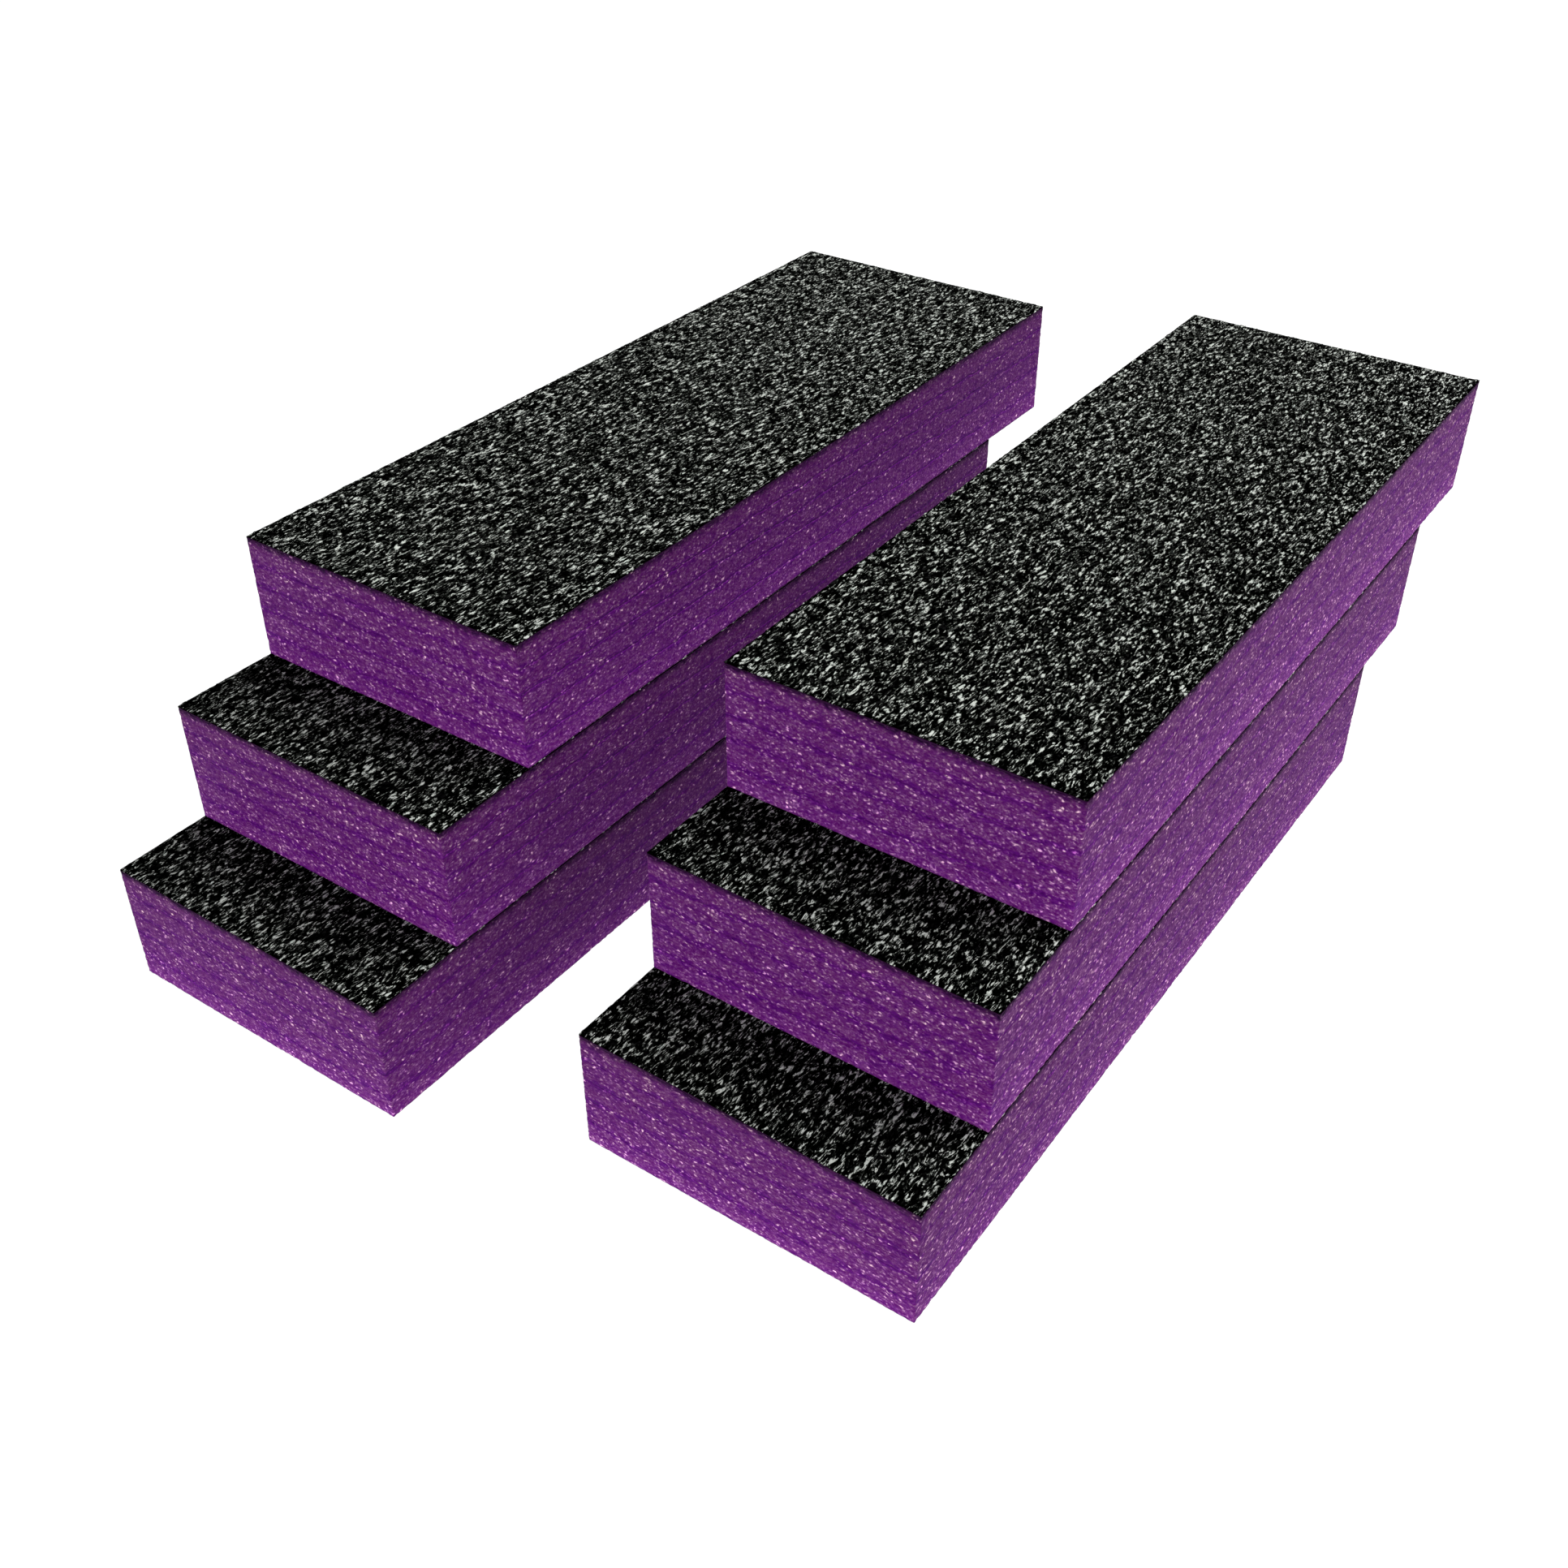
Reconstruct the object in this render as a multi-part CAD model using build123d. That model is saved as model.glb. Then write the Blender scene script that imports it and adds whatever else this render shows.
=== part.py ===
from build123d import *
import os

# A set of six identical grit-faced foam pads, set out as two stepped piles of three.
#
# Each pad is a slim cuboid. Its foam is built up from flat plies that are fused
# together, and one grit sheet is bonded on top: a film of adhesive, a thin backing,
# and a coat of abrasive grains. The underside is bare foam.
#
# Frame: X runs across the two piles and Y along the pads, from their front ends to
# their back ends. Z is up. The origin is the middle of the set's footprint, at the
# level of the surface that the lowest pads rest on. Sizes are in millimetres.

# ---- one pad ------------------------------------------------------------------
PAD_LENGTH = 88.9
PAD_WIDTH = 32.0
PLY_THICKNESSES = (2.30, 2.70, 2.30, 2.35, 2.39)  # foam plies, lowest first
BOND_FILM_THICKNESS = 0.03
BACKING_THICKNESS = 0.06
GRIT_THICKNESS = 0.11

# ---- how the pads are set out -------------------------------------------------
PILE_GAP = 15.1  # free width between the two piles
PILE_SETBACK = 7.6  # the right pile stands this much further back
MIDDLE_STEP = 10.7  # a middle pad's front end stands out this far past the top pad's
BOTTOM_STEP = 9.6  # a bottom pad's front end stands out this far past the middle pad's

# The layers of one pad, lowest first: a name and a thickness.
PLIES = [(f"foam_ply_{i + 1}", t) for i, t in enumerate(PLY_THICKNESSES)]
GRIT_SHEET = [
    ("bond_film", BOND_FILM_THICKNESS),
    ("grit_backing", BACKING_THICKNESS),
    ("grit_coat", GRIT_THICKNESS),
]
LAYERS = PLIES + GRIT_SHEET
PAD_HEIGHT = sum(thickness for _, thickness in LAYERS)

# A level's place in its pile, and how far its front end stands out past the top pad's.
LEVELS = [
    ("bottom", 0, MIDDLE_STEP + BOTTOM_STEP),
    ("middle", 1, MIDDLE_STEP),
    ("top", 2, 0.0),
]

# The whole set's footprint, with the left pile's top pad starting at X = 0, Y = 0.
FRONT = -(MIDDLE_STEP + BOTTOM_STEP)
BACK = PILE_SETBACK + PAD_LENGTH
SET_WIDTH = 2 * PAD_WIDTH + PILE_GAP
ORIGIN_X = SET_WIDTH / 2
ORIGIN_Y = (FRONT + BACK) / 2

# A pile's name, and the left and front edges of its top pad.
PILES = [
    ("left", 0.0, 0.0),
    ("right", PAD_WIDTH + PILE_GAP, PILE_SETBACK),
]


def slab(x, y, z, thickness):
    """One flat layer of a pad, from its front left lower corner."""
    corner = Pos(x - ORIGIN_X, y - ORIGIN_Y, z)
    layer = Box(
        PAD_WIDTH,
        PAD_LENGTH,
        thickness,
        align=(Align.MIN, Align.MIN, Align.MIN),
    )
    return corner * layer


def pad_layers(x, y, z):
    """Every layer of one pad, stacked face to face from its underside up."""
    layers = {}
    for name, thickness in LAYERS:
        layers[name] = slab(x, y, z, thickness)
        z += thickness
    return layers


def build():
    """All the layers of all the pads, by node name."""
    nodes = {}
    for pile, x, y in PILES:
        for level, pads_below, stand_out in LEVELS:
            z = pads_below * PAD_HEIGHT
            for name, layer in pad_layers(x, y - stand_out, z).items():
                nodes[f"{pile}_{level}_{name}"] = layer
    return nodes


os.makedirs("parts", exist_ok=True)
for node, shape in build().items():
    export_step(shape, f"parts/{node}.step")
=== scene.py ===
"""Grit-topped foam pads in two stepped piles: the looks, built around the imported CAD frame.

The mesh code works in millimetres in the row frame, and a mesh is turned into metres when it is
written. Every pattern is worked out from a fixed seed, so each run gives the same result.
"""
import itertools
import math

import bpy
import numpy as np
from mathutils import Euler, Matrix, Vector
from mathutils.geometry import delaunay_2d_cdt


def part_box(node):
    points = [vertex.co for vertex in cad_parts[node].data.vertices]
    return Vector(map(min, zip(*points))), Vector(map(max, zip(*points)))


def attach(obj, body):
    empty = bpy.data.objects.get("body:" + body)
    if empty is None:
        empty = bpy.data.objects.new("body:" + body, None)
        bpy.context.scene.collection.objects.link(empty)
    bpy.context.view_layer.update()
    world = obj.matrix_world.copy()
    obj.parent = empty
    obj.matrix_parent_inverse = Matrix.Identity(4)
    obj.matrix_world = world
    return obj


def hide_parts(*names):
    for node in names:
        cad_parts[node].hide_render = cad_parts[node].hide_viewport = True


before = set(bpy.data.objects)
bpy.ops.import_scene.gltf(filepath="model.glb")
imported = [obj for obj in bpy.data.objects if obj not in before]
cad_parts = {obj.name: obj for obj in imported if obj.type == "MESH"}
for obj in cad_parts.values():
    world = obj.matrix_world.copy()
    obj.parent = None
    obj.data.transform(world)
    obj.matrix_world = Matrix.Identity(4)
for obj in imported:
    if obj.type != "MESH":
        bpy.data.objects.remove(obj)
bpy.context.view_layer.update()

# ---- the object ------------------------------------------------------------------------------
PILES = ("left", "right")
LEVELS = ("bottom", "middle", "top")
PLY_COUNT = 5
MM = 1000.0  # millimetres in a metre

# ---- the camera, from the front left corner of the left pile's top pad, at floor level --------
CAMERA_OFFSET = (0.11797, -0.08497, 0.11046)
CAMERA_AZIMUTH = math.radians(35.09)
CAMERA_ELEVATION = math.radians(36.37)
CAMERA_ROLL = math.radians(-0.09)
CAMERA_LENS = 40.0
SENSOR_WIDTH = 36.0

# ---- the light: each softbox's azimuth from the front and elevation in degrees, and its watts --
SOFTBOXES = [
    ("front_softbox", 0.0, 10.0, 7.9),
    ("back_right_softbox", 138.0, 50.0, 11.0),
    ("back_softbox", 172.0, 50.0, 2.2),
]
SOFTBOX_DISTANCE = 0.9  # metres
SOFTBOX_SIZE = 0.8
BACKDROP_GREYS = [(0.0, 0.72), (0.20, 0.54), (0.40, 0.24), (0.60, 0.18)]  # by sine of elevation
FLOOR_SIZE = 12.0
FLOOR_GREY = 0.1
FLOOR_GLOW = 0.97  # the floor's own light, which leaves no dark shadow on it

# ---- mesh detail, in millimetres ---------------------------------------------------------------
EDGE_STEP = 0.18  # spacing of points round a pad and up its sides
CORNER_RADIUS = 0.12
HIDDEN_SPACING = 2.0  # faces that lie against another piece
UNDERSIDE_SPACING = 0.42
RESIN_SPACING = 0.42
FILL_SCATTER = 0.28  # how far a face's inner points stray, as a share of their spacing
FILL_RIM = 0.45  # how far they keep from the outline, as a share of their spacing

# ---- texture maps: shares of the square for a layer's sides, lower face and upper face ----------
MAP_STRIPS = 10  # the sides are cut into this many strips, one above another
MAP_STRIP_MARGIN = 0.08  # left free above and below in a strip, as a share of its height
HIDDEN_FACES = (0.90, 0.05, 0.05)
LOWER_FACE_SEEN = (0.40, 0.55, 0.05)
UPPER_FACE_SEEN = (0.04, 0.03, 0.93)

# ---- foam --------------------------------------------------------------------------------------
CELL_SIZE = 0.46
CELL_DEPTH = 0.075
CUP_RADIUS = 0.6  # of a cut cell's hollow, in cell sizes
UNDERSIDE_CELL_SIZE = 1.1
UNDERSIDE_CELL_DEPTH = 0.05
UNDERSIDE_CUP_RADIUS = 0.62
SAW_WAVE = 0.035
JOINT_WANDER = 0.20
JOINT_REACH = 0.55  # how far a joint deepens the foam's colour on each side of it
SOOT_REACH = 0.8  # how far the black of the grit sheet is smeared down the foam
GLUE_BLEED = 0.16

# ---- grit sheet: how far each layer's top wanders, and how deep its cut edge is frayed ----------
FILM_WANDER = 0.008
BACKING_WANDER = 0.006
FILM_RAGGEDNESS = 0.05
BACKING_RAGGEDNESS = 0.04
RESIN_RAGGEDNESS = 0.05

# ---- grit --------------------------------------------------------------------------------------
GRAIN_PITCH = (0.40, 0.655)  # across and along the pad, for one grain
GRAIN_CORNERS = 5
GRAIN_HALF_WIDTH = 0.13
GRAIN_SIZE_SPREAD = 0.30  # of the logarithm of the size
GRAIN_STRETCH = (1.4, 3.0)  # length for width, least and most
GRAIN_REACH = (0.65, 1.25)  # of a corner from the centre, for half widths
GRAIN_TURN_SPREAD = 0.35  # radians away from the pad's length
GRAIN_LEAN = 0.03
GRAIN_EDGE_GAP = 0.01
GRAIN_SINK = 0.03
RESIN_DEPTH = 0.068  # the resin's own level, below the tips of the tallest grains
RESIN_RIPPLE = 0.018
RESIN_SWELL = 0.010


# ================================================================================================
# Noise
# ================================================================================================
def lattice(ix, iy, iz, salt):
    """A fixed number from 0 to 1 for each whole-numbered point."""
    mask = 0xFFFFFFFF
    h = (ix * 374761393 + iy * 668265263 + iz * 2147483647 + salt * 974711) & mask
    h = ((h ^ (h >> 13)) * 1274126177) & mask
    h = ((h ^ (h >> 15)) * 1103515245) & mask
    return (h ^ (h >> 16)) / mask


def noise(points, size, salt):
    """Smooth noise from -1 to 1 whose features are about size across."""
    p = np.asarray(points, float) / size
    base = np.floor(p).astype(np.int64)
    f = p - base
    f = f * f * (3 - 2 * f)
    total = np.zeros(len(p))
    for corner in itertools.product((0, 1), repeat=3):
        weight = np.prod(np.where(corner, f, 1 - f), axis=1)
        total += weight * lattice(*(base + corner).T, salt)
    return 2 * total - 1


def cell_distance(points, size, salt):
    """The distance to the nearest of a scatter of cell centres, in cell sizes."""
    p = np.asarray(points, float) / size
    base = np.floor(p).astype(np.int64)
    best = np.full(len(p), 9.0)
    for step in itertools.product((-1, 0, 1), repeat=3):
        cell = base + step
        centre = np.stack([lattice(*cell.T, salt + k) for k in range(3)], axis=1)
        best = np.minimum(best, ((p - cell - centre) ** 2).sum(axis=1))
    return np.sqrt(best)


def flat_points(xy):
    """Points in a plane as points in space, for the noise functions."""
    return np.column_stack([xy, np.zeros(len(xy))])


# ================================================================================================
# Meshes
# ================================================================================================
def write_mesh(name, points, face_groups, smooth):
    """A mesh from points in millimetres and arrays of faces. smooth says for each array whether
    its faces are shaded as one smooth surface."""
    mesh = bpy.data.meshes.new(name)
    mesh.vertices.add(len(points))
    mesh.vertices.foreach_set("co", (points / MM).astype(np.float32).ravel())
    corners = np.concatenate([group.ravel() for group in face_groups])
    sizes = np.concatenate([np.full(len(group), group.shape[1]) for group in face_groups])
    mesh.loops.add(len(corners))
    mesh.loops.foreach_set("vertex_index", corners.astype(np.int32))
    mesh.polygons.add(len(sizes))
    starts = np.concatenate([[0], np.cumsum(sizes)[:-1]])
    mesh.polygons.foreach_set("loop_start", starts.astype(np.int32))
    smoothed = np.concatenate([np.full(len(group), s) for group, s in zip(face_groups, smooth)])
    mesh.polygons.foreach_set("use_smooth", smoothed)
    mesh.update(calc_edges=True)
    return mesh


def add_map(mesh, places):
    """The map that a texture bake of this piece uses, from one place for each face corner."""
    corners = np.concatenate([group.reshape(-1, 2) for group in places])
    mesh.uv_layers.new(name="OFBake").data.foreach_set("uv", corners.astype(np.float32).ravel())


def point_values(mesh, name, values):
    """Stores one number for each point, for a material to read."""
    mesh.attributes.new(name, "FLOAT", "POINT").data.foreach_set("value", values.astype(np.float32))


def face_values(mesh, name, values):
    """Stores one number for each face, for a material to read."""
    mesh.attributes.new(name, "FLOAT", "FACE").data.foreach_set("value", values.astype(np.float32))


def add_piece(mesh, body, materials):
    """A piece that rides on a body."""
    piece = bpy.data.objects.new(mesh.name, mesh)
    bpy.context.scene.collection.objects.link(piece)
    for material in materials:
        mesh.materials.append(material)
    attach(piece, body)
    return piece


def pad_outline(width, length):
    """Points round a rectangle with just-rounded corners, anticlockwise from above, and the
    outward direction at each."""
    r = CORNER_RADIUS
    corners = [
        (r, r, math.pi),
        (width - r, r, 1.5 * math.pi),
        (width - r, length - r, 0.0),
        (r, length - r, 0.5 * math.pi),
    ]
    runs = [width - 2 * r, length - 2 * r] * 2
    points, outward = [], []
    for (cx, cy, start), run in zip(corners, runs):
        for turn in (0.0, 0.25, 0.5, 0.75):
            angle = start + turn * math.pi / 2
            points.append((cx + r * math.cos(angle), cy + r * math.sin(angle)))
            outward.append((math.cos(angle), math.sin(angle)))
        end = start + math.pi / 2
        along = (-math.sin(end), math.cos(end))
        count = round(run / EDGE_STEP)
        for k in range(count):
            x = cx + r * math.cos(end) + along[0] * run * k / count
            y = cy + r * math.sin(end) + along[1] * run * k / count
            points.append((x, y))
            outward.append((math.cos(end), math.sin(end)))
    return np.array(points), np.array(outward)


def fill_outline(outline, spacing, width, length, seed):
    """Scattered points inside the outline and the triangles that join them and the outline.
    The outline's own points come first."""
    random = np.random.default_rng(seed)
    nx, ny = int(width / spacing), int(length / spacing)
    grid = np.stack(np.meshgrid(np.arange(nx), np.arange(ny), indexing="ij"), axis=-1)
    inner = (grid.reshape(-1, 2) + 0.5) * (width / nx, length / ny)
    inner = inner + random.uniform(-FILL_SCATTER, FILL_SCATTER, inner.shape) * spacing
    rim = FILL_RIM * spacing
    kept = np.all((inner > rim) & (inner < np.array([width, length]) - rim), axis=1)
    inner = inner[kept]
    points = [Vector(p) for p in np.concatenate([outline, inner])]
    ring = list(range(len(outline)))
    done = delaunay_2d_cdt(points, [], [ring], 1, 1e-6)
    return inner, np.array(done[2])


class PadShape:
    """The outline that every layer of every pad shares, and the ways of filling it."""

    def __init__(self, width, length):
        self.width, self.length = width, length
        self.outline, self.outward = pad_outline(width, length)
        steps = np.linalg.norm(np.roll(self.outline, -1, axis=0) - self.outline, axis=1)
        self.round_start = np.concatenate([[0], np.cumsum(steps)[:-1]]) / steps.sum()
        self.round_end = np.cumsum(steps) / steps.sum()
        self.fills = {}

    def fill(self, spacing):
        if spacing not in self.fills:
            self.fills[spacing] = fill_outline(
                self.outline, spacing, self.width, self.length, seed=7
            )
        return self.fills[spacing]

    def side_map(self, rows, share):
        """The sides' places on the map: MAP_STRIPS strips, one above another."""
        strip = np.floor(self.round_start * MAP_STRIPS)
        left = self.round_start * MAP_STRIPS - strip
        right = self.round_end * MAP_STRIPS - strip
        used = 1 - 2 * MAP_STRIP_MARGIN
        quads = []
        for row in range(rows):
            low, high = MAP_STRIP_MARGIN + used * np.array([row, row + 1]) / rows
            across = np.stack([left, right, right, left], axis=1) * share
            up = strip[:, None] + np.array([[low, low, high, high]])
            quads.append(np.stack([across, up / MAP_STRIPS], axis=-1))
        return np.concatenate(quads)

    def face_map(self, place, triangles, start, share):
        """One face's places on the map, as seen from above."""
        flat = place[triangles] / (self.width, self.length)
        return flat * (share, 1.0) + (start, 0.0)

    def layer(self, corner, low, high, rows, push, low_spacing, high_spacing, shares):
        """A closed slab on this outline, with its front left corner at corner. low and high give
        the heights of its two faces, and push how far in each point of its sides stands.
        Returns the points, the faces and the map."""
        n = len(self.outline)
        place = self.outline + corner
        bottom, top = low(place), high(place)
        rings = []
        for share in np.linspace(0, 1, rows + 1):
            z = bottom + (top - bottom) * share
            ring = np.column_stack([place, z])
            ring[:, :2] -= self.outward * push(ring)[:, None]
            rings.append(ring)
        low_inner, low_triangles = self.fill(low_spacing)
        high_inner, high_triangles = self.fill(high_spacing)
        low_place, high_place = low_inner + corner, high_inner + corner
        points = np.concatenate(
            rings
            + [np.column_stack([low_place, low(low_place)])]
            + [np.column_stack([high_place, high(high_place)])]
        )
        i = np.arange(n)
        j = (i + 1) % n
        walls = np.concatenate(
            [np.stack([r * n + i, r * n + j, (r + 1) * n + j, (r + 1) * n + i], axis=1)
             for r in range(rows)]
        )
        sides = n * (rows + 1)
        side_share, low_share, high_share = shares
        places = [
            self.side_map(rows, side_share),
            self.face_map(np.concatenate([self.outline, low_inner]),
                          low_triangles[:, ::-1], side_share, low_share),
            self.face_map(np.concatenate([self.outline, high_inner]),
                          high_triangles, side_share + low_share, high_share),
        ]
        low_map = np.concatenate([i, sides + np.arange(len(low_inner))])
        high_map = np.concatenate(
            [rows * n + i, sides + len(low_inner) + np.arange(len(high_inner))]
        )
        low_face = low_map[low_triangles][:, ::-1]
        high_face = high_map[high_triangles]
        return points, [walls, low_face, high_face], places


# ================================================================================================
# Materials
# ================================================================================================
class Shader:
    """A material with one Principled shader, and short calls that add nodes to it."""

    def __init__(self, name, **constants):
        self.material = bpy.data.materials.new(name)
        self.material.use_nodes = True
        self.tree = self.material.node_tree
        self.surface = self.tree.nodes["Principled BSDF"]
        for socket, value in constants.items():
            self.surface.inputs[socket.replace("_", " ")].default_value = value

    def join(self, value, socket):
        """Links a node's output to a socket, or sets the socket to a plain value."""
        if isinstance(value, bpy.types.NodeSocket):
            self.tree.links.new(value, socket)
        else:
            socket.default_value = value

    def add(self, kind, settings=None, inputs=None, output=0):
        node = self.tree.nodes.new("ShaderNode" + kind)
        for key, value in (settings or {}).items():
            setattr(node, key, value)
        for key, value in (inputs or {}).items():
            self.join(value, node.inputs[key])
        return node.outputs[output]

    def maths(self, operation, a, b=0.0, c=0.0):
        return self.add("Math", {"operation": operation}, {0: a, 1: b, 2: c})

    def millimetres(self, stretch=(1, 1, 1)):
        """The piece's own coordinates in millimetres, each way multiplied by stretch."""
        own = self.add("TexCoord", output="Object")
        scale = tuple(MM * s for s in stretch)
        return self.add("VectorMath", {"operation": "MULTIPLY"}, {0: own, 1: scale})

    def noise(self, where, scale, detail=2.0, roughness=0.5, distortion=0.0):
        inputs = {"Vector": where, "Scale": scale, "Detail": detail,
                  "Roughness": roughness, "Distortion": distortion}
        return self.add("TexNoise", None, inputs, "Fac")

    def cells(self, where, scale, output="Distance"):
        """The distance to the nearest of a scatter of cell centres, or that cell's own colour."""
        return self.add("TexVoronoi", None, {"Vector": where, "Scale": scale}, output)

    def span(self, value, low, high, to_low=0.0, to_high=1.0, smooth=True):
        """Value from low to high turned into to_low to to_high, and held there outside."""
        settings = {"interpolation_type": "SMOOTHSTEP" if smooth else "LINEAR"}
        inputs = {0: value, 1: low, 2: high, 3: to_low, 4: to_high}
        return self.add("MapRange", settings, inputs)

    def mix(self, share, a, b, blend="MIX"):
        settings = {"data_type": "RGBA", "blend_type": blend}
        node = self.tree.nodes.new("ShaderNodeMix")
        for key, value in settings.items():
            setattr(node, key, value)
        self.join(share, node.inputs[0])
        self.join(a, node.inputs[6])
        self.join(b, node.inputs[7])
        return node.outputs[2]

    def ramp(self, value, stops):
        """A colour for each value, through stops that are pairs of a place and a colour."""
        node = self.tree.nodes.new("ShaderNodeValToRGB")
        self.join(value, node.inputs[0])
        points = node.color_ramp.elements
        points[0].position, points[0].color = stops[0]
        points[-1].position, points[-1].color = stops[-1]
        for place, shade in stops[1:-1]:
            points.new(place).color = shade
        return node.outputs[0]

    def total(self, *terms):
        """The sum of the terms, where a term is a value or a pair of a value and its weight."""
        result = 0.0
        for term in terms:
            value, weight = term if isinstance(term, tuple) else (term, 1.0)
            result = self.maths("MULTIPLY_ADD", value, weight, result)
        return result

    def chance(self, where, scale):
        """A fixed number from 0 to 1 for each cell."""
        return self.add("SeparateColor", None, {0: self.cells(where, scale, "Color")})

    def flecks(self, where, scale, outer, inner, rare):
        """Spots in a scatter of cells, each of its own brightness. The larger rare is, the fewer
        are bright."""
        spot = self.span(self.cells(where, scale), outer, inner)
        strength = self.maths("POWER", self.chance(where, scale), rare)
        return self.maths("MULTIPLY", spot, strength)

    def warped(self, where, scale, reach):
        """Coordinates pushed about by noise, each way by up to reach."""
        swirl = self.add("TexNoise", None, {"Vector": where, "Scale": scale, "Detail": 3.0}, "Color")
        inputs = {0: swirl, 1: (reach,) * 3, 2: where}
        return self.add("VectorMath", {"operation": "MULTIPLY_ADD"}, inputs)

    def scaled(self, shade, factor):
        """A colour made brighter or darker by a factor."""
        return self.add("VectorMath", {"operation": "SCALE"}, {0: shade, "Scale": factor})

    def attribute(self, name):
        return self.add("Attribute", {"attribute_name": name}, None, "Fac")

    def bump(self, height, strength, distance):
        inputs = {"Height": height, "Strength": strength, "Distance": distance}
        return self.add("Bump", None, inputs, "Normal")

    def set(self, socket, value):
        self.join(value, self.surface.inputs[socket])


def colour(red, green, blue):
    return (red, green, blue, 1.0)


# Cut foam, from its darkest violet to its brightest flecks, which are painted glints.
FOAM_SHADES = [
    (0.00, colour(0.046, 0.0008, 0.072)),
    (0.22, colour(0.074, 0.0060, 0.099)),
    (0.42, colour(0.103, 0.0210, 0.126)),
    (0.58, colour(0.150, 0.053, 0.172)),
    (0.76, colour(0.310, 0.145, 0.300)),
    (1.00, colour(0.660, 0.390, 0.580)),
]

# What the foam's colour is multiplied by: where it is greyer, where it is bluer, at a joint
# between plies, and under the black of the grit sheet.
MAUVE_TINT = colour(1.10, 1.22, 1.00)
VIOLET_TINT = colour(1.00, 0.78, 1.05)
JOINT_TINT = colour(0.80, 0.30, 1.00)
SOOT_TINT = colour(0.11, 0.05, 0.14)

# What the foam's colour is multiplied by from a pad's underside, which is brightest and bluest, with
# a painted highlight along its lower edge, up to its top, which is darker. HEIGHT_TINT_SCALE is
# applied as well.
HEIGHT_TINT_SCALE = 1.8
HEIGHT_TINTS = [
    (0.00, colour(0.91, 0.84, 0.93)),
    (0.05, colour(0.85, 0.79, 0.87)),
    (0.11, colour(0.74, 0.69, 0.76)),
    (0.30, colour(0.65, 0.63, 0.65)),
    (0.55, colour(0.58, 0.58, 0.58)),
    (0.80, colour(0.56, 0.58, 0.54)),
    (0.92, colour(0.51, 0.55, 0.48)),
    (1.00, colour(0.49, 0.53, 0.46)),
]

GREEN_TINT = colour(0.85, 1.0, 0.95)  # what some patches of the crystals are multiplied by

# Grit, from the black between the grains to the brightest crystal and painted highlight.
GRIT_SHADES = [
    (0.00, colour(0.0001, 0.0001, 0.0001)),
    (0.34, colour(0.0014, 0.0017, 0.0013)),
    (0.48, colour(0.0210, 0.0233, 0.0202)),
    (0.64, colour(0.1000, 0.1073, 0.0968)),
    (0.80, colour(0.2500, 0.2650, 0.2440)),
    (0.96, colour(0.4900, 0.5140, 0.4790)),
]


def foam_material():
    """Cut foam: violet and mauve streaks along the plies, dark joints, and pale flecks that are
    painted glints.
    """
    s = Shader("purple_cut_foam", Specular_IOR_Level=0.03)
    where = s.warped(s.millimetres((1.0, 1.0, 1.45)), 1.9, 0.62)
    broad = s.noise(s.millimetres((0.5, 0.5, 1.6)), 0.8, 3.0, 0.6)
    streaks = s.noise(s.millimetres((0.8, 0.8, 2.6)), 1.5, 3.0, 0.65)
    fine = s.noise(where, 3.4, 4.0, 0.78)
    # These flecks are painted glints of the cut cells' walls.
    small_glints = s.flecks(where, 2.7, 0.66, 0.08, 0.9)
    large_glints = s.flecks(where, 1.5, 0.40, 0.06, 1.4)
    shade = s.total(-1.06, (broad, 0.30), (streaks, 0.65), (fine, 1.75), (small_glints, 0.48), (large_glints, 0.66))

    base = s.ramp(shade, FOAM_SHADES)

    blotches = s.noise(s.millimetres((0.7, 0.7, 1.5)), 1.5, 3.0, 0.6)
    hue = s.mix(s.span(blotches, 0.36, 0.64), MAUVE_TINT, VIOLET_TINT)
    base = s.mix(1.0, base, hue, "MULTIPLY")
    painted_glints = s.total(small_glints, large_glints)
    joint = s.total(s.attribute("joint_line"), (blotches, 2.6), (fine, 0.9), (painted_glints, -1.0), -1.60)
    base = s.mix(s.span(joint, 0.20, 0.85), base, JOINT_TINT, "MULTIPLY")
    # Darker towards the pad's top; the bright band at the underside is a painted highlight along the
    # lower edge.
    base = s.mix(1.0, base, s.ramp(s.attribute("pad_height"), HEIGHT_TINTS), "MULTIPLY")
    base = s.scaled(base, HEIGHT_TINT_SCALE)
    soot = s.total(s.attribute("soot"), (fine, 1.9), (blotches, 1.3), (painted_glints, -0.45), -1.6)
    base = s.mix(s.span(soot, 0.05, 1.0, smooth=False), base, SOOT_TINT, "MULTIPLY")
    s.set("Base Color", base)
    s.set("Roughness", s.span(fine, 0.3, 0.7, 0.52, 0.72))
    pores = s.cells(where, 3.4)
    s.set("Normal", s.bump(s.total(pores, (fine, 0.8)), 0.55, 0.00006))
    return s.material


def film_material():
    """Dark adhesive with a dull skin."""
    s = Shader("bond_film_adhesive", Specular_IOR_Level=0.02, Base_Color=colour(0.026, 0.006, 0.032))
    grain = s.noise(s.millimetres(), 6.0, 3.0, 0.6)
    s.set("Roughness", s.span(grain, 0.3, 0.7, 0.45, 0.7))
    s.set("Normal", s.bump(grain, 0.5, 0.00003))
    return s.material


def backing_material():
    """Black waterproof paper with short fibres."""
    s = Shader("black_backing_paper", Specular_IOR_Level=0.0, Base_Color=colour(0.014, 0.0035, 0.015))
    fibres = s.noise(s.millimetres((1.0, 1.0, 3.0)), 9.0, 4.0, 0.7, 0.6)
    s.set("Roughness", s.span(fibres, 0.3, 0.7, 0.7, 0.9))
    s.set("Normal", s.bump(fibres, 0.6, 0.00003))
    return s.material


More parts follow.
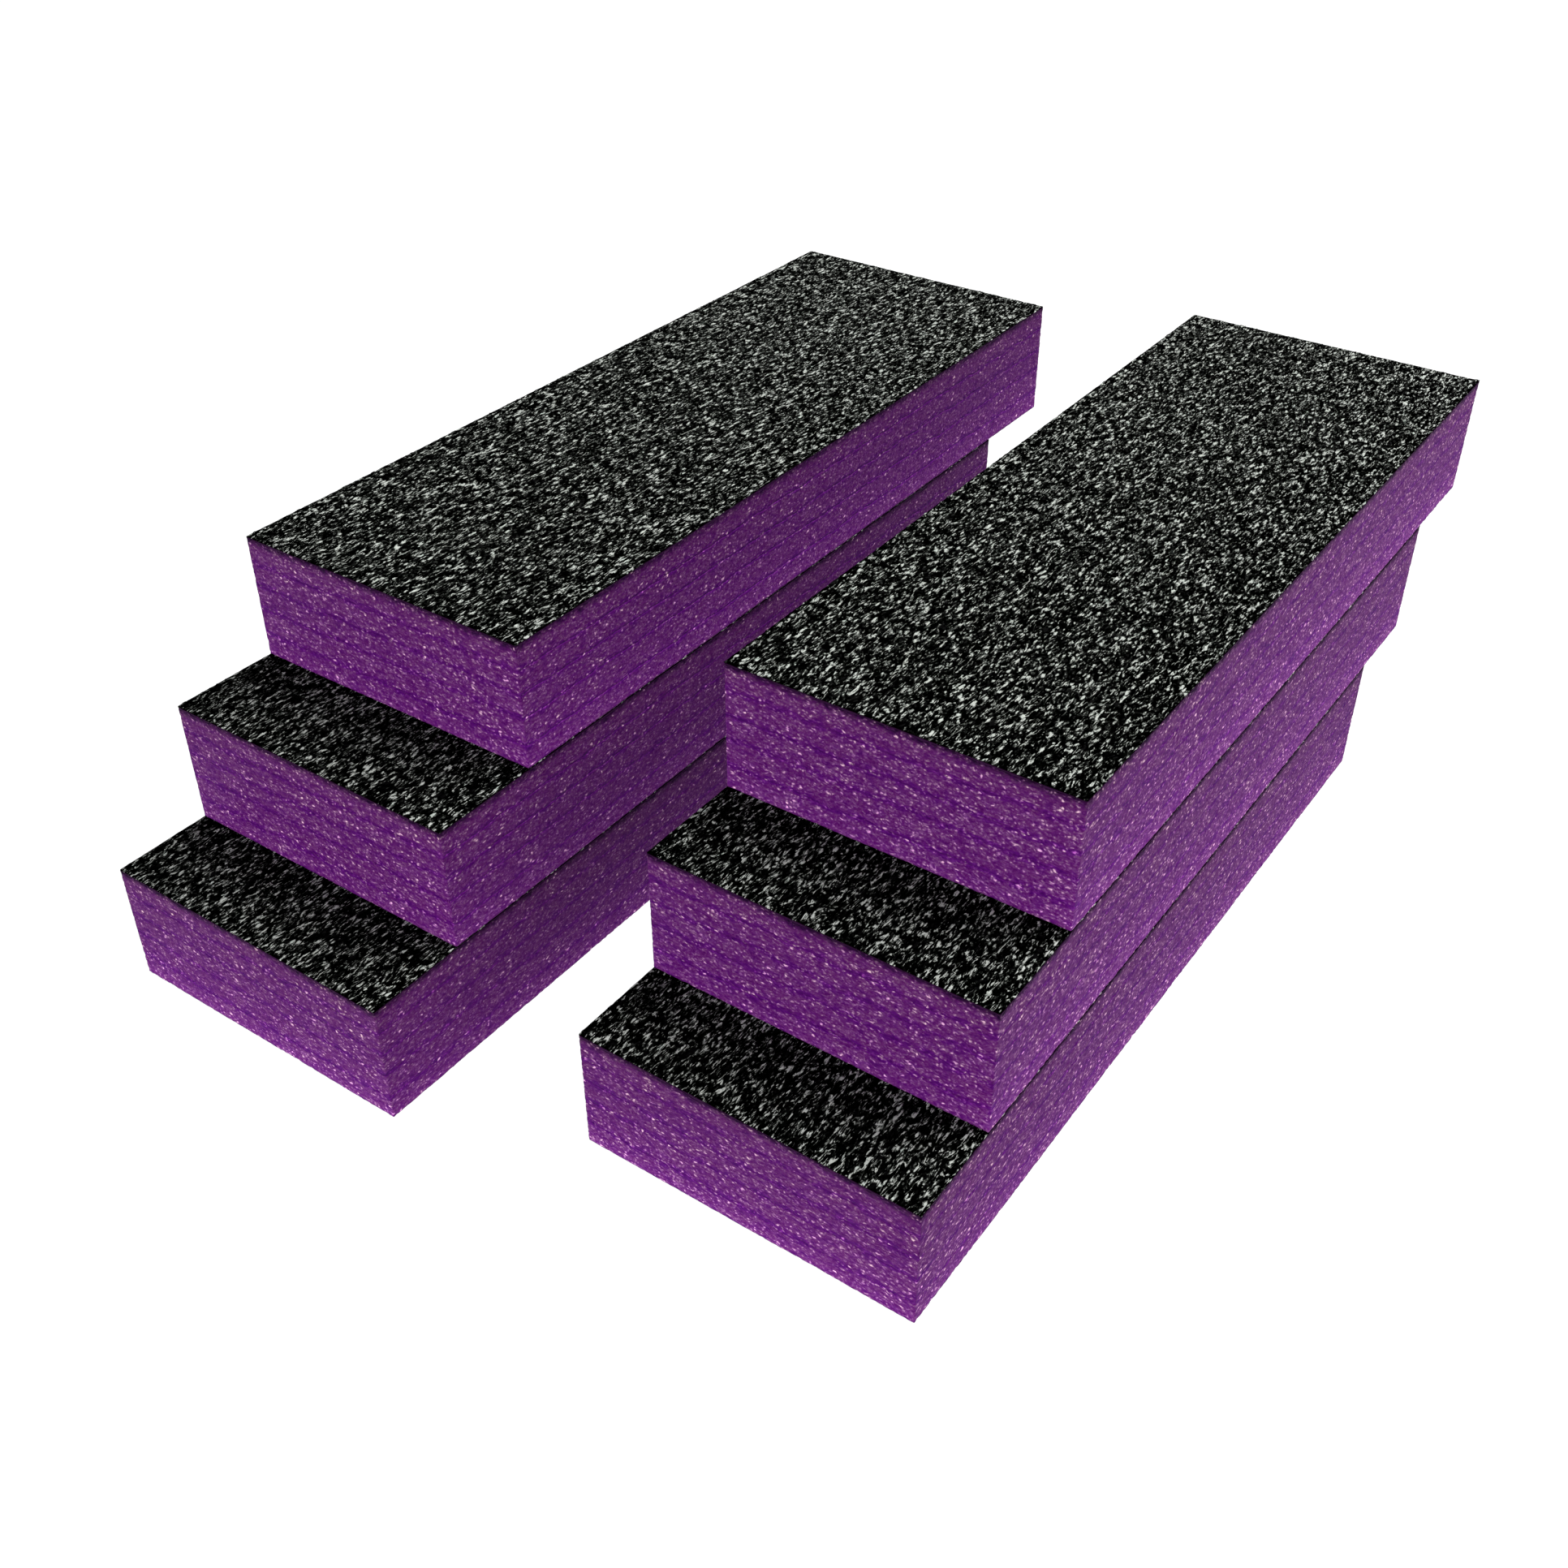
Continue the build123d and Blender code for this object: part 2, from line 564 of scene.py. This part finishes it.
def grit_shade(s):
    """The crystals' mottling, drawn out along the pad: bright blobs, black gaps, and thin rings and
    strokes that are painted highlights.
    The grit is a little paler towards the pad's back end."""
    where = s.warped(s.millimetres((1.0, 0.44, 0.0)), 1.7, 0.6)
    blobs = s.flecks(where, 2.3, 0.58, 0.12, 0.9)
    chips = s.flecks(where, 4.0, 0.54, 0.15, 1.1)
    folds = s.noise(where, 3.3, 2.0, 0.6)
    # Thin bright rings: painted highlights on the grains' edges.
    loops = s.span(s.maths("ABSOLUTE", s.maths("SUBTRACT", folds, 0.5)), 0.08, 0.0)
    clumps = s.noise(s.millimetres((1.0, 0.6, 0.0)), 0.9, 2.0, 0.5)
    gaps = s.noise(s.warped(s.millimetres((1.0, 0.22, 0.0)), 1.2, 0.5), 2.2, 1.0, 0.5)
    veins = s.span(s.maths("ABSOLUTE", s.maths("SUBTRACT", gaps, 0.5)), 0.060, 0.008)
    # Thin bright strokes in patches: painted highlights.
    threads = s.noise(s.warped(s.millimetres((1.0, 0.20, 0.0)), 1.3, 0.5), 3.6, 1.0, 0.5)
    highlight_needles = s.span(s.maths("ABSOLUTE", s.maths("SUBTRACT", threads, 0.5)), 0.070, 0.015)
    patches = s.span(s.noise(s.millimetres((1.0, 0.5, 0.0)), 1.5, 1.0, 0.5), 0.36, 0.56)
    highlight_needles = s.maths("MULTIPLY", highlight_needles, patches)
    # Paler towards the pad's back end.
    towards_back = s.span(s.attribute("along"), 0.1, 0.8)
    light = s.total((blobs, 0.98), (chips, 0.50), (loops, 0.40), (clumps, 0.60), -0.31)
    return s.total(light, (towards_back, 0.045), (highlight_needles, 0.62), (veins, -0.55))


def resin_material():
    """Black resin between the grains, with dust-fine grit in it."""
    s = Shader("black_resin", Specular_IOR_Level=0.0)
    shade = grit_shade(s)
    # grit_shade brings its painted highlights into the resin's colour as well.
    s.set("Base Color", s.ramp(s.maths("SUBTRACT", shade, 0.16), GRIT_SHADES))
    s.set("Roughness", s.span(shade, 0.3, 0.7, 0.75, 0.5))
    s.set("Normal", s.bump(shade, 0.7, 0.00008))
    return s.material


def grain_material():
    """Pale mineral crystals, each of its own tone, mottled by their flaws."""
    s = Shader("grit_grains", Specular_IOR_Level=0.03)
    # grit_shade brings its painted highlights into the crystals' colour.
    shade = s.total(grit_shade(s), (s.attribute("tone"), 0.7), -0.26)
    tint = s.noise(s.millimetres((1.0, 0.6, 0.0)), 1.3, 2.0, 0.5)
    base = s.ramp(shade, GRIT_SHADES)
    greener = s.span(tint, 0.55, 0.72, 0.0, 0.5)
    s.set("Base Color", s.mix(greener, base, GREEN_TINT, "MULTIPLY"))
    s.set("Roughness", s.span(shade, 0.3, 0.8, 0.7, 0.4))
    return s.material


# ================================================================================================
# Foam plies
# ================================================================================================
def joint_surface(height, wander, salt):
    """The height of a joint between two layers, which wanders a little over the pad."""
    def surface(xy):
        p = flat_points(xy)
        return height + wander * (0.65 * noise(p, 2.6, salt) + 0.35 * noise(p, 0.7, salt + 1))
    return surface


def bleed_surface(height, salt):
    """The underside of the glue, which sinks into the cut cells in ragged drips."""
    def surface(xy):
        p = flat_points(xy)
        drips = 0.5 * noise(p, 0.55, salt) + 0.5 * noise(p, 1.6, salt + 1)
        return height - GLUE_BLEED * np.clip(0.25 + drips, 0, 1)
    return surface


def underside_surface(height, salt):
    """The cut underside: shallow open cells, whose rims lie on the floor."""
    def surface(xy):
        p = flat_points(xy)
        cells = cell_distance(p, UNDERSIDE_CELL_SIZE, salt)
        cup = np.clip(1 - (cells / UNDERSIDE_CUP_RADIUS) ** 2, 0, 1)
        return height + UNDERSIDE_CELL_DEPTH * cup * (0.5 + 0.5 * noise(p, 3.0, salt + 5))
    return surface


def foam_push(salt):
    """How far in each point of a ply's sides stands: cut cells and a slow saw wave."""
    def push(ring):
        cells = cell_distance(ring * (1, 1, 1.25), CELL_SIZE, salt)
        cup = np.clip(1 - (cells / CUP_RADIUS) ** 2, 0, 1)
        cup *= 0.55 + 0.45 * noise(ring, 1.4, salt + 3)
        wave = SAW_WAVE * (0.5 + 0.5 * noise(ring * (1, 1, 0.4), 6.0, salt + 4))
        return CELL_DEPTH * cup + wave
    return push


def nearness(distance, reach):
    """1 at no distance, falling to 0 at reach."""
    return np.clip(1 - distance / reach, 0, 1)


def foam_ply(shape, pad, ply, corner, surfaces, materials, salt):
    """One ply of a pad's foam, as a closed piece that stands for its CAD slab."""
    low, high = surfaces[ply - 1], surfaces[ply]
    node = f"{pad}_foam_ply_{ply}"
    box_low, box_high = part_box(node)
    rows = round((box_high.z - box_low.z) * MM / EDGE_STEP)
    points, faces, places = shape.layer(
        corner, low, high, rows, foam_push(salt),
        UNDERSIDE_SPACING if ply == 1 else HIDDEN_SPACING, HIDDEN_SPACING,
        LOWER_FACE_SEEN if ply == 1 else HIDDEN_FACES,
    )
    mesh = write_mesh(f"{node}_cut", points, faces, (True, ply == 1, False))
    add_map(mesh, places)
    above = high(points[:, :2]) - points[:, 2]
    below = points[:, 2] - low(points[:, :2])
    near_below = nearness(below, JOINT_REACH) if ply > 1 else 0.0
    near_above = nearness(above, JOINT_REACH) if ply < PLY_COUNT else 0.0
    point_values(mesh, "joint_line", np.maximum(near_below, near_above) + np.zeros(len(points)))
    soot = nearness(above, SOOT_REACH) if ply == PLY_COUNT else np.zeros(len(points))
    point_values(mesh, "soot", soot)
    foot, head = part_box(f"{pad}_foam_ply_1")[0].z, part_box(f"{pad}_grit_coat")[1].z
    point_values(mesh, "pad_height", (points[:, 2] / MM - foot) / (head - foot))
    piece = add_piece(mesh, f"{pad}_pad", materials)
    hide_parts(node)
    return piece


# ================================================================================================
# Grit sheet
# ================================================================================================
def sheet_push(depth, salt):
    """The rough cut edge of a thin layer."""
    def push(ring):
        return depth * (0.5 + 0.5 * noise(ring * (1, 1, 3), 0.35, salt))
    return push


def thin_layer(shape, pad, name, corner, low, high, depth, materials, salt, top_spacing):
    """The film, the backing or the resin, as a closed piece that stands for its CAD slab."""
    node = f"{pad}_{name}"
    points, faces, places = shape.layer(
        corner, low, high, 2, sheet_push(depth, salt), HIDDEN_SPACING, top_spacing, UPPER_FACE_SEEN
    )
    mesh = write_mesh(f"{node}_sheet", points, faces, (True, False, name == "grit_coat"))
    add_map(mesh, places)
    point_values(mesh, "along", (points[:, 1] - corner[1]) / shape.length)
    piece = add_piece(mesh, f"{pad}_pad", materials)
    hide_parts(node)
    return piece


def resin_surface(height, salt):
    """The resin's own level, in low swells along the pad."""
    def surface(xy):
        p = flat_points(xy * (1, 0.55))
        return height + RESIN_RIPPLE * noise(p, 0.5, salt) + RESIN_SWELL * noise(p, 1.7, salt + 1)
    return surface


def grain_points(shape, corner, resin, tips, random):
    """The grains' points: for each, a foot ring under the resin, a shoulder ring and a crown."""
    nx = round(shape.width / GRAIN_PITCH[0])
    ny = round(shape.length / GRAIN_PITCH[1])
    pitch = np.array([shape.width / nx, shape.length / ny])
    grid = np.stack(np.meshgrid(np.arange(nx), np.arange(ny), indexing="ij"), axis=-1)
    centre = (grid.reshape(-1, 2) + 0.5 + random.uniform(-0.48, 0.48, (nx * ny, 2))) * pitch
    count = len(centre)
    half = GRAIN_HALF_WIDTH * np.exp(random.normal(0, GRAIN_SIZE_SPREAD, (count, 1)))
    stretch = random.uniform(*GRAIN_STRETCH, (count, 1))
    turn = random.normal(0, GRAIN_TURN_SPREAD, (count, 1))
    even_spokes = np.arange(GRAIN_CORNERS) * 2 * math.pi / GRAIN_CORNERS
    uneven_spokes = even_spokes + random.uniform(-0.42, 0.42, (count, GRAIN_CORNERS))
    spokes = uneven_spokes + random.uniform(0, 6, (count, 1))
    reach = random.uniform(*GRAIN_REACH, (count, GRAIN_CORNERS))

    def ring(scale, shift):
        x = half * reach * scale * np.cos(spokes)
        y = half * stretch * reach * scale * np.sin(spokes)
        return np.stack([
            centre[:, :1] + shift[:, :1] + x * np.cos(turn) - y * np.sin(turn),
            centre[:, 1:] + shift[:, 1:] + x * np.sin(turn) + y * np.cos(turn),
        ], axis=-1)

    foot = ring(1.0, np.zeros((count, 2)))
    lean = random.normal(0, GRAIN_LEAN, (count, 2))
    shoulder = ring(random.uniform(0.5, 0.85, (count, GRAIN_CORNERS)), lean)
    crown = (centre + lean + random.normal(0, GRAIN_LEAN, (count, 2)))[:, None, :]
    room = tips - resin(centre + corner)
    peak = room * random.beta(2.2, 1.6, count)
    heights = np.concatenate([
        np.full((count, GRAIN_CORNERS), -GRAIN_SINK),
        peak[:, None] * random.uniform(0.35, 1.0, (count, GRAIN_CORNERS)),
        peak[:, None] * random.uniform(0.55, 1.0, (count, 1)),
    ], axis=1)
    flat = np.concatenate([foot, shoulder, crown], axis=1)
    far_edges = np.array([shape.width, shape.length]) - GRAIN_EDGE_GAP
    flat = np.clip(flat, GRAIN_EDGE_GAP, far_edges) + corner
    z = resin(flat.reshape(-1, 2)).reshape(count, -1) + heights
    z = np.minimum(z, tips)
    return np.concatenate([flat, z[..., None]], axis=-1), count


def grain_faces(count):
    """The faces of every grain: its foot, its walls in two triangles each, and its crown."""
    k = GRAIN_CORNERS
    i = np.arange(k)
    j = (i + 1) % k
    foot = i[::-1][None, :]
    walls = np.concatenate([
        np.stack([i, j, k + j], axis=1),
        np.stack([i, k + j, k + i], axis=1),
    ])
    crown = np.stack([k + i, k + j, np.full(k, 2 * k)], axis=1)
    start = (np.arange(count) * (2 * k + 1))[:, None, None]
    feet = (start + foot[None]).reshape(-1, k)
    triangles = (start + np.concatenate([walls, crown])[None]).reshape(-1, 3)
    return feet, triangles


def grain_tones(points, count, random):
    """A tone for each face. A grain has a tone of its own, its facets differ from it, and pale
    grains gather in loose clumps."""
    k = GRAIN_CORNERS
    centre = points[:, -1, :] * (1, 0.55, 1)
    own = random.normal(0.5, 0.2, count) + 0.08 * noise(centre, 0.8, 11)
    # Walls are set darker than crowns: painted shade on the grains' sides.
    walls = own[:, None] - 0.12 + random.normal(0, 0.10, (count, 2 * k))
    crowns = own[:, None] + random.normal(0, 0.12, (count, k))
    return np.concatenate([own, np.concatenate([walls, crowns], axis=1).ravel()])


def grit_grains(shape, pad, corner, resin, tips, materials, seed):
    """The abrasive grains that stand out of the resin."""
    random = np.random.default_rng(seed)
    points, count = grain_points(shape, corner, resin, tips, random)
    feet, triangles = grain_faces(count)
    tones = grain_tones(points, count, random)
    points = points.reshape(-1, 3)
    mesh = write_mesh(f"{pad}_grit_grains", points, [feet, triangles], (False, False))
    seen_from_above = (points[:, :2] - corner) / (shape.width, shape.length)
    add_map(mesh, [seen_from_above[feet], seen_from_above[triangles]])
    face_values(mesh, "tone", tones)
    point_values(mesh, "along", seen_from_above[:, 1])
    return add_piece(mesh, f"{pad}_pad", materials)


# ================================================================================================
# Pads
# ================================================================================================
def face_heights(pad):
    """The height of each face between a pad's layers, from its underside to its top."""
    names = [f"foam_ply_{i + 1}" for i in range(PLY_COUNT)]
    names += ["bond_film", "grit_backing", "grit_coat"]
    boxes = [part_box(f"{pad}_{name}") for name in names]
    return [boxes[0][0].z * MM] + [high.z * MM for _, high in boxes]


def build_pad(shape, pad, number, materials):
    """All the pieces of one pad. Its number gives it patterns of its own."""
    corner = np.array(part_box(f"{pad}_foam_ply_1")[0][:2]) * MM
    heights = face_heights(pad)
    salt = 100 * (number + 1)
    surfaces = [underside_surface(heights[0], salt)]
    surfaces += [joint_surface(heights[i], JOINT_WANDER, salt + 10 * i) for i in range(1, PLY_COUNT)]
    surfaces += [bleed_surface(heights[PLY_COUNT], salt + 60)]
    film_top, backing_top, tips = heights[PLY_COUNT + 1:]
    for ply in range(1, PLY_COUNT + 1):
        foam_ply(shape, pad, ply, corner, surfaces, [materials["foam"]], salt + 70)
    film = joint_surface(film_top, FILM_WANDER, salt + 81)
    backing = joint_surface(backing_top, BACKING_WANDER, salt + 83)
    resin = resin_surface(tips - RESIN_DEPTH, salt + 85)
    thin_layer(shape, pad, "bond_film", corner, surfaces[PLY_COUNT], film, FILM_RAGGEDNESS,
               [materials["film"]], salt + 87, HIDDEN_SPACING)
    thin_layer(shape, pad, "grit_backing", corner, film, backing, BACKING_RAGGEDNESS,
               [materials["backing"]], salt + 88, HIDDEN_SPACING)
    thin_layer(shape, pad, "grit_coat", corner, backing, resin, RESIN_RAGGEDNESS,
               [materials["resin"]], salt + 89, RESIN_SPACING)
    grit_grains(shape, pad, corner, resin, tips, [materials["grains"]], salt)


def build_pads():
    low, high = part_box("left_top_foam_ply_1")
    shape = PadShape((high.x - low.x) * MM, (high.y - low.y) * MM)
    materials = {
        "foam": foam_material(),
        "film": film_material(),
        "backing": backing_material(),
        "resin": resin_material(),
        "grains": grain_material(),
    }
    pads = [f"{pile}_{level}" for pile in PILES for level in LEVELS]
    for number, pad in enumerate(pads):
        build_pad(shape, pad, number, materials)


# ================================================================================================
# Camera, floor and light
# ================================================================================================
def make_camera():
    low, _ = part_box("left_top_foam_ply_1")
    camera = bpy.data.objects.new("camera", bpy.data.cameras.new("camera"))
    bpy.context.scene.collection.objects.link(camera)
    camera.data.sensor_width = SENSOR_WIDTH
    camera.data.lens = CAMERA_LENS
    camera.data.clip_start = 0.005
    camera.data.clip_end = 20.0
    camera.location = Vector((low.x, low.y, 0.0)) + Vector(CAMERA_OFFSET)
    tilt = math.pi / 2 - CAMERA_ELEVATION
    turn = Euler((tilt, 0.0, CAMERA_AZIMUTH), "XYZ").to_matrix()
    camera.rotation_euler = (turn @ Euler((0.0, 0.0, CAMERA_ROLL)).to_matrix()).to_euler()
    bpy.context.scene.camera = camera


def make_floor():
    half = FLOOR_SIZE / 2
    mesh = bpy.data.meshes.new("floor")
    mesh.from_pydata([(-half, -half, 0), (half, -half, 0), (half, half, 0), (-half, half, 0)],
                     [], [(0, 1, 2, 3)])
    floor = bpy.data.objects.new("floor", mesh)
    bpy.context.scene.collection.objects.link(floor)
    s = Shader("pale_floor", Roughness=0.9, Specular_IOR_Level=0.0,
               Base_Color=colour(*[FLOOR_GREY] * 3), Emission_Color=colour(1.0, 1.0, 1.0),
               Emission_Strength=FLOOR_GLOW)
    mesh.materials.append(s.material)


def softbox(name, azimuth, elevation, power):
    """A round softbox that is turned to the piles."""
    light = bpy.data.lights.new(name, "AREA")
    light.shape = "DISK"
    light.size = SOFTBOX_SIZE
    light.energy = power
    lamp = bpy.data.objects.new(name, light)
    bpy.context.scene.collection.objects.link(lamp)
    turn, rise = math.radians(azimuth), math.radians(elevation)
    level = math.cos(rise)
    away = Vector((level * math.sin(turn), -level * math.cos(turn), math.sin(rise)))
    lamp.location = SOFTBOX_DISTANCE * away
    lamp.rotation_euler = away.to_track_quat("Z", "Y").to_euler()


def make_backdrop():
    """Even light from all round, which is palest just above the floor."""
    world = bpy.data.worlds.new("studio")
    world.use_nodes = True
    nodes, links = world.node_tree.nodes, world.node_tree.links
    direction = nodes.new("ShaderNodeTexCoord")
    split = nodes.new("ShaderNodeSeparateXYZ")
    ramp = nodes.new("ShaderNodeValToRGB")
    links.new(direction.outputs["Generated"], split.inputs[0])
    links.new(split.outputs["Z"], ramp.inputs[0])
    links.new(ramp.outputs[0], nodes["Background"].inputs["Color"])
    stops = ramp.color_ramp.elements
    stops.remove(stops[-1])
    for i, (rise, grey) in enumerate(BACKDROP_GREYS):
        stop = stops.new(rise) if i else stops[0]
        stop.position, stop.color = rise, colour(grey, grey, grey)
    bpy.context.scene.world = world


def make_light():
    for name, azimuth, elevation, power in SOFTBOXES:
        softbox(name, azimuth, elevation, power)


def set_colours():
    view = bpy.context.scene.view_settings
    view.view_transform = "Standard"
    view.look = "None"
    view.exposure = 0.0
    view.gamma = 1.0


make_camera()
make_floor()
make_backdrop()
make_light()
set_colours()
build_pads()
